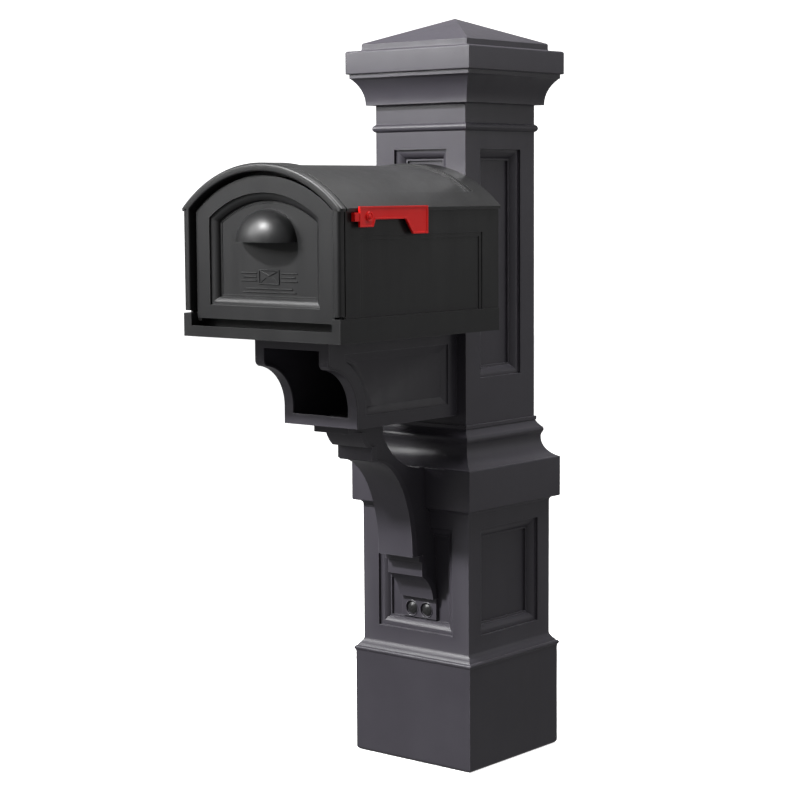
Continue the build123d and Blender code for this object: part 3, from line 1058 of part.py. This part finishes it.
through_bolts("flag_pivot_bolt", [(FLAG_FACE + SEAT_GAP, FLAG_Y, FLAG_Z)], (1, 0, 0),
              FLAG_PIN_RADIUS - SHAFT_CLEARANCE, FLAG_BOSS_RADIUS, SCREW_HEAD_HEIGHT,
              FLAG_FACE + SEAT_GAP - SHELL_INNER_HALF + WASHER_THICKNESS + NUT_HEIGHT + 3)
with BuildPart() as flag_washer:
    add(rod((SHELL_INNER_HALF, FLAG_Y, FLAG_Z), (-1, 0, 0), NUT_RADIUS + 1, WASHER_THICKNESS))
    add(rod((SHELL_INNER_HALF, FLAG_Y, FLAG_Z), (-1, 0, 0), FLAG_PIN_RADIUS, WASHER_THICKNESS),
        mode=Mode.SUBTRACT)
flag_washer.part.label = "flag_washer"
export_step(flag_washer.part, "parts/flag_washer.step")
nuts("flag_nut", [(SHELL_INNER_HALF - WASHER_THICKNESS, FLAG_Y, FLAG_Z)], (-1, 0, 0), FLAG_PIN_RADIUS,
     NUT_RADIUS, NUT_HEIGHT)
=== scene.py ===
import json
from math import atan2, cos, pi, radians, sin, sqrt

import bmesh
import bpy
from mathutils import Matrix, Vector


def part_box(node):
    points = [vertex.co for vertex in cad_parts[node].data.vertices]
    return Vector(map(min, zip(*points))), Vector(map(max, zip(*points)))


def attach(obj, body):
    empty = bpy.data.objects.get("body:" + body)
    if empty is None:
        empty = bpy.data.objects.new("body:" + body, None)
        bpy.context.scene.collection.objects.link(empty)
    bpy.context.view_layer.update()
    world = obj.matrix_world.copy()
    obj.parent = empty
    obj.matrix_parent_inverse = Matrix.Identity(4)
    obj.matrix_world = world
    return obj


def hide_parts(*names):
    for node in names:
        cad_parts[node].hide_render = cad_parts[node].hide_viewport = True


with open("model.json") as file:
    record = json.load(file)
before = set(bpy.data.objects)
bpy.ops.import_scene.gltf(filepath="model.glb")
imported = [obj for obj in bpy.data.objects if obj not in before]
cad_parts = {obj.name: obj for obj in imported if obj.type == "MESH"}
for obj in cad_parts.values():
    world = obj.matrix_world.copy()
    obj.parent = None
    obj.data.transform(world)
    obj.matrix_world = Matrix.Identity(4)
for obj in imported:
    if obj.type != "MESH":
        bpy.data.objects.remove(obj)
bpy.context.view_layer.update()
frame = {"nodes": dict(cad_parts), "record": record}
scene = bpy.context.scene
nodes = frame["nodes"]


# ---------------------------------------------------------------- material helpers
class Graph:
    """A material's node tree, with short calls for adding nodes and joining them."""

    def __init__(self, name):
        self.material = bpy.data.materials.new(name)
        self.material.use_nodes = True
        self.tree = self.material.node_tree
        self.shader = self.tree.nodes["Principled BSDF"]
        self.place = self.add("ShaderNodeTexCoord").outputs["Object"]

    def add(self, kind, **settings):
        node = self.tree.nodes.new(kind)
        for key, value in settings.items():
            setattr(node, key, value)
        return node

    def join(self, source, target):
        self.tree.links.new(source, target)

    def value(self, target, source):
        """Set a socket to a number or colour, or link it to another socket."""
        if isinstance(source, bpy.types.NodeSocket):
            self.join(source, target)
        else:
            target.default_value = source

    def noise(self, scale, detail=2.0, roughness=0.5, stretch=None):
        """Noise from 0 to 1 over the object's own coordinates."""
        node = self.add("ShaderNodeTexNoise")
        node.inputs["Scale"].default_value = scale
        node.inputs["Detail"].default_value = detail
        node.inputs["Roughness"].default_value = roughness
        if stretch:
            mapping = self.add("ShaderNodeMapping")
            mapping.inputs["Scale"].default_value = stretch
            self.join(self.place, mapping.inputs["Vector"])
            self.join(mapping.outputs["Vector"], node.inputs["Vector"])
        else:
            self.join(self.place, node.inputs["Vector"])
        return node.outputs["Fac"]

    def spread(self, source, low, high, start=0.3, end=0.7):
        """Map a factor between two limits to a range of values."""
        node = self.add("ShaderNodeMapRange")
        node.inputs["From Min"].default_value = start
        node.inputs["From Max"].default_value = end
        node.inputs["To Min"].default_value = low
        node.inputs["To Max"].default_value = high
        self.join(source, node.inputs["Value"])
        return node.outputs["Result"]

    def maths(self, a, b, operation="ADD"):
        """Add two values, or combine them by another operation."""
        node = self.add("ShaderNodeMath", operation=operation)
        self.value(node.inputs[0], a)
        self.value(node.inputs[1], b)
        return node.outputs[0]

    def blend(self, factor, a, b):
        """Mix two colours; the node's colour sockets are inputs 6 and 7 and output 2."""
        node = self.add("ShaderNodeMix", data_type="RGBA")
        self.value(node.inputs["Factor"], factor)
        self.value(node.inputs[6], a)
        self.value(node.inputs[7], b)
        return node.outputs[2]

    def edges(self, radius):
        """A mask that is bright along sharp edges."""
        bevel = self.add("ShaderNodeBevel", samples=6)
        bevel.inputs["Radius"].default_value = radius
        flat = self.add("ShaderNodeNewGeometry").outputs["Normal"]
        dot = self.add("ShaderNodeVectorMath", operation="DOT_PRODUCT")
        self.join(bevel.outputs["Normal"], dot.inputs[0])
        self.join(flat, dot.inputs[1])
        return self.spread(dot.outputs["Value"], 1.0, 0.0, 0.86, 0.995)

    def bump(self, layers):
        """Chain bump layers, each a height source, a strength and a distance."""
        normal = None
        for height, strength, distance in layers:
            node = self.add("ShaderNodeBump")
            node.inputs["Strength"].default_value = strength
            node.inputs["Distance"].default_value = distance
            self.join(height, node.inputs["Height"])
            if normal:
                self.join(normal, node.inputs["Normal"])
            normal = node.outputs["Normal"]
        self.join(normal, self.shader.inputs["Normal"])


def rgb(r, g, b):
    return (r, g, b, 1.0)


def moulded_plastic(name, dark, light, edge_highlight, rough, grain, edge_radius=0.0015, upward_tone=None, specular=0.5):
    """Satin moulded plastic: uneven sheen, fine grain, painted highlights along the edges and, if asked, a
    paler tone on upward faces.
    """
    g = Graph(name)
    patches = g.noise(5.0, 4.0, 0.6)
    streaks = g.noise(9.0, 5.0, 0.65, (3.0, 3.0, 0.35))
    fine = g.noise(900.0, 2.0, 0.6)
    pits = g.noise(2300.0, 1.0)
    colour = g.blend(g.spread(patches, 0.0, 1.0), dark, light)
    edge = g.edges(edge_radius)
    # Painted highlight: sharp edges are painted paler, in patches set by noise.
    painted_edge_highlight = g.maths(edge, g.spread(g.noise(38.0, 4.0, 0.7), 0.25, 0.8), "MULTIPLY")
    colour = g.blend(painted_edge_highlight, colour, edge_highlight)
    if upward_tone:
        # Upward-facing faces are painted a paler tone, in patches set by noise.
        up = g.add("ShaderNodeSeparateXYZ")
        g.join(g.add("ShaderNodeNewGeometry").outputs["Normal"], up.inputs[0])
        upward_mask = g.maths(g.spread(up.outputs["Z"], 0.0, 0.22, 0.55, 1.0),
                         g.spread(g.noise(60.0, 5.0, 0.7), 0.4, 1.0), "MULTIPLY")
        colour = g.blend(upward_mask, colour, upward_tone)
    g.join(colour, g.shader.inputs["Base Color"])
    sheen = g.maths(g.spread(streaks, rough - 0.05, rough + 0.06), g.spread(fine, -0.03, 0.03))
    g.join(sheen, g.shader.inputs["Roughness"])
    g.shader.inputs["IOR"].default_value = 1.48
    g.shader.inputs["Specular IOR Level"].default_value = specular
    g.bump([(patches, 0.02, 0.003), (fine, grain, 0.00025), (pits, grain * 0.6, 0.00012)])
    return g.material


def darkened_steel(name):
    """Zinc-black screw metal with fine turning marks."""
    g = Graph(name)
    marks = g.noise(700.0, 3.0, 0.6, (1.0, 1.0, 4.0))
    spots = g.noise(260.0, 4.0, 0.7)
    g.join(g.blend(g.spread(spots, 0.0, 1.0), rgb(0.012, 0.012, 0.013), rgb(0.03, 0.03, 0.03)),
           g.shader.inputs["Base Color"])
    g.join(g.spread(marks, 0.22, 0.38), g.shader.inputs["Roughness"])
    g.shader.inputs["Metallic"].default_value = 0.35
    g.bump([(marks, 0.25, 0.00012), (spots, 0.2, 0.0002)])
    return g.material


def ferrite(name):
    """Dull sintered magnet."""
    g = Graph(name)
    grain = g.noise(1500.0, 3.0, 0.7)
    g.join(g.blend(g.spread(grain, 0.0, 1.0), rgb(0.03, 0.03, 0.03), rgb(0.07, 0.068, 0.065)),
           g.shader.inputs["Base Color"])
    g.join(g.spread(grain, 0.6, 0.8), g.shader.inputs["Roughness"])
    g.bump([(grain, 0.3, 0.0002)])
    return g.material


post_plastic = moulded_plastic(
    "post_plastic", rgb(0.034, 0.031, 0.039), rgb(0.043, 0.040, 0.049), rgb(0.13, 0.125, 0.14),
    rough=0.38, grain=0.14, edge_radius=0.0018, upward_tone=rgb(0.065, 0.062, 0.07))
mailbox_plastic = moulded_plastic(
    "mailbox_plastic", rgb(0.0065, 0.0065, 0.007), rgb(0.0095, 0.0095, 0.010), rgb(0.055, 0.055, 0.056),
    rough=0.43, grain=0.16, edge_radius=0.0014, upward_tone=rgb(0.02, 0.02, 0.02), specular=0.42)
flag_plastic = moulded_plastic(
    "flag_plastic", rgb(0.68, 0.004, 0.004), rgb(0.80, 0.007, 0.006), rgb(0.85, 0.06, 0.05),
    rough=0.36, grain=0.08, edge_radius=0.0008, specular=0.3)
guide_plastic = moulded_plastic(
    "guide_plastic", rgb(0.03, 0.03, 0.032), rgb(0.045, 0.045, 0.047), rgb(0.10, 0.10, 0.10),
    rough=0.55, grain=0.2)
fastener_steel = darkened_steel("fastener_steel")
magnet = ferrite("magnet")
slot_materials = {
    "post_plastic": post_plastic,
    "mailbox_plastic": mailbox_plastic,
    "flag_plastic": flag_plastic,
    "guide_plastic": guide_plastic,
    "fastener_steel": fastener_steel,
    "magnet": magnet,
}


# ---------------------------------------------------------------- edge rounding on the CAD pieces
weld_distance = 0.00001
flat_angle = radians(0.6)
sharp_angle = radians(28)


def weld_and_smooth():
    """A node group that drops stored normals, welds split corners and shades smooth."""
    group = bpy.data.node_groups.new("weld_and_smooth", "GeometryNodeTree")
    group.interface.new_socket("Geometry", in_out="INPUT", socket_type="NodeSocketGeometry")
    group.interface.new_socket("Geometry", in_out="OUTPUT", socket_type="NodeSocketGeometry")
    new = group.nodes.new
    start, end = new("NodeGroupInput"), new("NodeGroupOutput")
    drop = new("GeometryNodeRemoveAttribute")
    drop.inputs["Name"].default_value = "custom_normal"
    weld = new("GeometryNodeMergeByDistance")
    weld.inputs["Distance"].default_value = weld_distance
    faces = new("GeometryNodeSetShadeSmooth")
    source = start.outputs[0]
    for node in (drop, weld, faces):
        group.links.new(source, node.inputs["Geometry"])
        source = node.outputs[0]
    group.links.new(source, end.inputs[0])
    return group


def rounded(piece, width):
    """Give a CAD piece softly rounded edges with modifiers only."""
    weld = piece.modifiers.new("weld", "NODES")
    weld.node_group = weld_group
    merge = piece.modifiers.new("merge_flats", "DECIMATE")
    merge.decimate_type = "DISSOLVE"
    merge.angle_limit = flat_angle
    bevel = piece.modifiers.new("edges", "BEVEL")
    bevel.width = width
    bevel.segments = 2
    bevel.limit_method = "ANGLE"
    bevel.angle_limit = sharp_angle
    bevel.use_clamp_overlap = True
    bevel.harden_normals = True
    bevel.miter_outer = "MITER_SHARP"


weld_group = weld_and_smooth()
edge_width = {
    "pedestal": 0.0012, "column": 0.0012, "post_cap": 0.0012, "corbel": 0.0012,
    "holder_body": 0.0012, "holder_front_frame": 0.0010, "mailbox_tray": 0.0010,
    "mailbox_shell": 0.0010, "front_frame": 0.0018, "rear_panel": 0.0008, "door": 0.0010,
    "door_pull": 0.0010, "flag": 0.0005,
}
small_edge_width = 0.0003
part_slots = {part["node"]: part["material_slot"] for part in frame["record"]["subparts"]}
for name, piece in nodes.items():
    piece.data.materials.clear()
    piece.data.materials.append(slot_materials[part_slots[name]])
    rounded(piece, edge_width.get(name, small_edge_width))


# ---------------------------------------------------------------- pieces made here
def finished(name, mesh_data, body, slot, crease=35):
    """Turn a bmesh into a named piece with its body, finish and smooth shading."""
    bmesh.ops.remove_doubles(mesh_data, verts=mesh_data.verts, dist=0.000001)
    bmesh.ops.recalc_face_normals(mesh_data, faces=mesh_data.faces)
    mesh = bpy.data.meshes.new(name)
    mesh_data.to_mesh(mesh)
    mesh_data.free()
    for face in mesh.polygons:
        face.use_smooth = True
    mesh.set_sharp_from_angle(angle=radians(crease))
    piece = bpy.data.objects.new(name, mesh)
    mesh.materials.append(slot_materials[slot])
    scene.collection.objects.link(piece)
    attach(piece, body)
    return piece


def join_rows(mesh_data, rows):
    """Skin rows of points that all have the same length, and cap both ends."""
    grid = [[mesh_data.verts.new(point) for point in row] for row in rows]
    count = len(rows[0])
    for first, second in zip(grid, grid[1:]):
        for i in range(count):
            j = (i + 1) % count
            mesh_data.faces.new((first[i], first[j], second[j], second[i]))
    mesh_data.faces.new(grid[0])
    mesh_data.faces.new(grid[-1])


def arch(half, radius, foot, lip=None, steps=56):
    """Points up one jamb, over the arch and down the other; a lip steps the eave outwards."""
    end = half if lip is None else lip
    under = radius if lip is None else radius - lip_height
    start = atan2(sqrt(radius ** 2 - end ** 2), end)
    points = [(half, foot), (half, crown_centre + sqrt(under ** 2 - half ** 2)),
              (end, crown_centre + sqrt(under ** 2 - end ** 2))]
    turn_by = (pi - 2 * start) / steps
    points += [(radius * cos(start + turn_by * i), crown_centre + radius * sin(start + turn_by * i))
               for i in range(steps + 1)]
    return points + [(-x, z) for x, z in reversed(points[:3])]


def arched_ring(mesh_data, outer, inner, front, back, outer_round, inner_round, steps=6):
    """A band between two arches, with its two front edges rounded."""
    rows = []
    for (outer_x, outer_z), (inner_x, inner_z) in zip(outer, inner):
        across = Vector((outer_x - inner_x, 0, outer_z - inner_z))
        width = across.length
        across.normalize()
        base = Vector((inner_x, 0, inner_z))
        profile = [(0, back)]
        for i in range(steps + 1):
            a = pi / 2 * i / steps
            profile.append((inner_round * (1 - cos(a)), front + inner_round * (1 - sin(a))))
        for i in range(steps + 1):
            a = pi / 2 * i / steps
            profile.append((width - outer_round * (1 - sin(a)), front + outer_round * (1 - cos(a))))
        profile.append((width, back))
        rows.append([base + across * s + Vector((0, y, 0)) for s, y in profile])
    join_rows(mesh_data, rows)


frame_low, frame_high = (Vector(corner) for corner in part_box("front_frame"))
eave_half = frame_high.x
eave_step = 0.0046
side_half = eave_half - eave_step
band_width = 0.0154
band_depth = 0.014
band_outer_round = 0.0056
band_inner_round = 0.0026
lip_height = 0.004
roof_rise = 0.081
crown_radius = (eave_half ** 2 + roof_rise ** 2) / (2 * roof_rise)
crown_centre = frame_high.z - crown_radius
frame_back = frame_low.y + band_depth
stop_thickness = 0.0034
stop_face = frame_high.y - stop_thickness
stop_reach = 0.032
insert_inset = 0.0043
ring_overlap = 0.0005
fine_round = 0.0002
stop_round = 0.0004
opening = arch(side_half - band_width, crown_radius - band_width, frame_low.z)
insert = arch(side_half - insert_inset, crown_radius - insert_inset, frame_low.z)
stop_edge = arch(side_half - insert_inset - stop_reach, crown_radius - insert_inset - stop_reach, frame_low.z)

band = bmesh.new()
arched_ring(band, arch(side_half, crown_radius, frame_low.z, lip=eave_half), opening,
            frame_low.y, frame_back, band_outer_round, band_inner_round)
arched_ring(band, insert, opening, frame_back - ring_overlap, stop_face + ring_overlap,
            fine_round, fine_round)
arched_ring(band, insert, stop_edge, stop_face, frame_high.y, fine_round, stop_round)

magnet_low, magnet_high = (Vector(corner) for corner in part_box("catch_magnet"))
pocket_wall = 0.003
pocket_root = 0.010
pocket_sink = 0.0004
pocket_round = 0.0008
pocket = bmesh.ops.create_cube(band, size=1.0)["verts"]
pocket_low = Vector((magnet_low.x - pocket_wall, stop_face + pocket_sink, magnet_low.z - pocket_wall))
pocket_high = Vector((magnet_high.x + pocket_wall, magnet_high.y, magnet_high.z + pocket_root))
for vert in pocket:
    vert.co = Vector([low + (unit + 0.5) * (high - low)
                      for low, high, unit in zip(pocket_low, pocket_high, vert.co)])
bmesh.ops.bevel(band, geom=list({edge for vert in pocket for edge in vert.link_edges}),
                offset=pocket_round, segments=2, affect="EDGES")
front_band = finished("front_frame_rounded", band, "post", "mailbox_plastic")
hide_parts("front_frame")


bar_sink = 0.0003


def raised_bar(mesh_data, start, end, width, base, height):
    """A straight moulded bar that stands proud of an upright face, with a narrower top."""
    start, end = Vector((start[0], 0, start[1])), Vector((end[0], 0, end[1]))
    along = (end - start).normalized()
    across = Vector((-along.z, 0, along.x))
    rows = []
    for depth, inset in ((bar_sink, 0.0), (-height * 0.55, 0.0), (-height, height * 0.45)):
        half = width / 2 - inset
        run_in = along * (inset - width / 2)
        rows.append([corner + Vector((0, base + depth, 0)) for corner in (
            start + run_in + across * half, end - run_in + across * half,
            end - run_in - across * half, start + run_in - across * half)])
    join_rows(mesh_data, rows)


door_low = Vector(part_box("door")[0])
door_field = door_low.y + 0.015
emblem_z = 0.9765
envelope_half = 0.024
envelope_rise = 0.0125
flap_inset = 0.0005
flap_x = envelope_half - flap_inset
flap_rise = envelope_rise - flap_inset
envelope = [(-envelope_half, emblem_z - envelope_rise), (envelope_half, emblem_z - envelope_rise),
            (envelope_half, emblem_z + envelope_rise), (-envelope_half, emblem_z + envelope_rise)]
emblem = bmesh.new()
for corner, after in zip(envelope, envelope[1:] + envelope[:1]):
    raised_bar(emblem, corner, after, 0.0022, door_field, 0.0017)
for side in (-1, 1):
    raised_bar(emblem, (side * flap_x, emblem_z + flap_rise), (0, emblem_z + 0.0025),
               0.0018, door_field, 0.0015)
    raised_bar(emblem, (side * flap_x, emblem_z - flap_rise), (side * 0.0085, emblem_z - 0.0010),
               0.0014, door_field, 0.0011)
    for rise, reach in ((0.007, 0.068), (0.0, 0.062), (-0.007, 0.068)):
        raised_bar(emblem, (side * 0.032, emblem_z + rise), (side * reach, emblem_z + rise),
                   0.0024, door_field, 0.0016)
for drop, reach in ((0.0210, 0.056), (0.0275, 0.064)):
    raised_bar(emblem, (-reach, emblem_z - drop), (reach, emblem_z - drop), 0.0026, door_field, 0.0015)
finished("door_emblem", emblem, "door", "mailbox_plastic", crease=20)


def turned(mesh_data, centre, profile, steps=48):
    """A shape turned about an axis along X, from distances along it and radii."""
    angles = [2 * pi * i / steps for i in range(steps)]
    rows = [[Vector((x, centre.y + radius * cos(angle), centre.z + radius * sin(angle)))
             for angle in angles] for x, radius in profile]
    join_rows(mesh_data, rows)


bolt_low, bolt_high = (Vector(corner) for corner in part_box("flag_pivot_bolt"))
bolt_centre = (bolt_low + bolt_high) / 2
shank_radius = 0.00295
shank_chamfer = 0.0004
head_radius = (bolt_high.z - bolt_low.z) / 2
head_back = bolt_high.x - 0.003
head_top = head_back + 0.0014
dish_floor = head_back + 0.0002
dish_edge = head_back + 0.0010
pivot = bmesh.new()
turned(pivot, bolt_centre, [
    (bolt_low.x, shank_radius - shank_chamfer), (bolt_low.x + shank_chamfer, shank_radius),
    (head_back, shank_radius), (head_back, head_radius), (head_back + 0.0008, head_radius),
    (head_top, head_radius - 0.0005), (head_top, head_radius - 0.0013),
    (dish_edge, head_radius - 0.0017), (dish_floor, head_radius - 0.0018),
    (dish_floor, head_radius - 0.0027), (dish_edge, head_radius - 0.0029),
    (head_back + 0.0013, head_radius - 0.0034), (head_top, 0.0010)])
pivot_piece = finished("flag_pivot_moulded", pivot, "post", "flag_plastic")
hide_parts("flag_pivot_bolt")


bolts_low, bolts_high = (Vector(corner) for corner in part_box("corbel_bolts"))
bolt_radius = (bolts_high.z - bolts_low.z) / 2
pad_front = bolts_low.y + 0.002
rim_gap = 0.0036
rim_half_width = 0.0013
rim_height = 0.0016
rim_sink = 0.0003
rim_steps = 48
rim_arc_steps = 6
beads = bmesh.new()
for side in (-1, 1):
    middle = Vector((side * (bolts_high.x - bolt_radius), 0, (bolts_low.z + bolts_high.z) / 2))
    bead_rows = []
    for i in range(rim_steps):
        spoke = Vector((cos(2 * pi * i / rim_steps), 0, sin(2 * pi * i / rim_steps)))
        row = []
        for j in range(rim_arc_steps + 1):
            tilt = pi * j / rim_arc_steps
            forward = Vector((0, pad_front + rim_sink - rim_height * sin(tilt), 0))
            row.append(middle + spoke * (bolt_radius + rim_gap + rim_half_width * cos(tilt)) + forward)
        bead_rows.append(row)
    loop = [[beads.verts.new(point) for point in row] for row in bead_rows]
    for first, second in zip(loop, loop[1:] + loop[:1]):
        for j in range(rim_arc_steps):
            beads.faces.new((first[j], first[j + 1], second[j + 1], second[j]))
finished("corbel_bolt_seat_rims", beads, "post", "post_plastic")


# ---------------------------------------------------------------- stage, light and camera
def glowing(name, colour, strength):
    """A plain pale stage material that glows by itself."""
    g = Graph(name)
    tone = g.noise(3.0, 3.0, 0.5)
    g.join(g.blend(g.spread(tone, 0.0, 1.0), colour, rgb(*(c * 0.985 for c in colour[:3]))),
           g.shader.inputs["Base Color"])
    g.shader.inputs["Roughness"].default_value = 0.9
    g.shader.inputs["Specular IOR Level"].default_value = 0.1
    g.shader.inputs["Emission Color"].default_value = rgb(1.0, 1.0, 1.0)
    g.shader.inputs["Emission Strength"].default_value = strength
    return g.material


def stage_plane(name, corners, material):
    """A plane that the camera sees, but that neither lights, mirrors in nor shades the object."""
    mesh = bpy.data.meshes.new(name)
    mesh.from_pydata(corners, [], [(0, 1, 2, 3)])
    plane = bpy.data.objects.new(name, mesh)
    plane.data.materials.append(material)
    plane.visible_diffuse = False
    plane.visible_glossy = False
    plane.visible_shadow = False
    scene.collection.objects.link(plane)


stage_white = rgb(0.93, 0.93, 0.93)
floor_half = 30
wall_count = 16
wall_radius = 12
wall_height = 14
stage_plane("floor", [(-floor_half, -floor_half, 0), (floor_half, -floor_half, 0),
                      (floor_half, floor_half, 0), (-floor_half, floor_half, 0)],
            glowing("floor", stage_white, 0.80))
wall_angles = [2 * pi * i / wall_count for i in range(wall_count)]
wall_points = [(wall_radius * cos(angle), wall_radius * sin(angle)) for angle in wall_angles]
wall_white = glowing("backdrop", stage_white, 1.0)
for number, (start, end) in enumerate(zip(wall_points, wall_points[1:] + wall_points[:1])):
    stage_plane(f"backdrop_{number:02d}",
                [(*start, 0), (*end, 0), (*end, wall_height), (*start, wall_height)], wall_white)

world = bpy.data.worlds.new("studio")
world.use_nodes = True
world.node_tree.nodes["Background"].inputs["Color"].default_value = rgb(1.0, 1.0, 1.0)
world.node_tree.nodes["Background"].inputs["Strength"].default_value = 0.26
scene.world = world


def softbox(name, place, target, width, height, power):
    """A rectangular area light that faces a point."""
    data = bpy.data.lights.new(name, "AREA")
    data.energy = power
    data.shape = "RECTANGLE"
    data.size = width
    data.size_y = height
    light = bpy.data.objects.new(name, data)
    light.location = place
    light.rotation_euler = (Vector(target) - Vector(place)).to_track_quat("-Z", "Y").to_euler()
    scene.collection.objects.link(light)


softbox("key", (-1.35, -3.6, 3.95), (0, -0.3, 0.9), 0.30, 0.30, 470)
softbox("left_strip", (-2.05, -2.55, 2.2), (0, -0.1, 1.45), 0.8, 1.0, 55)
softbox("top", (0.5, 0.2, 3.9), (0, -0.2, 1.0), 1.8, 1.8, 150)
softbox("right_rim", (3.2, 2.6, 1.8), (0, 0, 0.9), 0.7, 1.8, 8)

yaw, pitch, roll = radians(39.76), radians(5.888), radians(0.353)
level = Vector((-sin(yaw), cos(yaw), 0))
right = Vector((cos(yaw), sin(yaw), 0))
ahead = level * cos(pitch) - Vector((0, 0, 1)) * sin(pitch)
up = Vector((0, 0, 1)) * cos(pitch) + level * sin(pitch)
camera_right = right * cos(roll) - up * sin(roll)
camera_up = right * sin(roll) + up * cos(roll)
camera_place = Vector((2.537, -3.226, 1.134))
camera_data = bpy.data.cameras.new("camera")
camera_data.lens = 92.44
camera_data.sensor_width = 36.0
camera = bpy.data.objects.new("camera", camera_data)
scene.collection.objects.link(camera)
turn = Matrix((camera_right, camera_up, -ahead)).transposed().to_4x4()
camera.matrix_world = Matrix.Translation(camera_place) @ turn
scene.camera = camera
scene.view_settings.view_transform = "Standard"
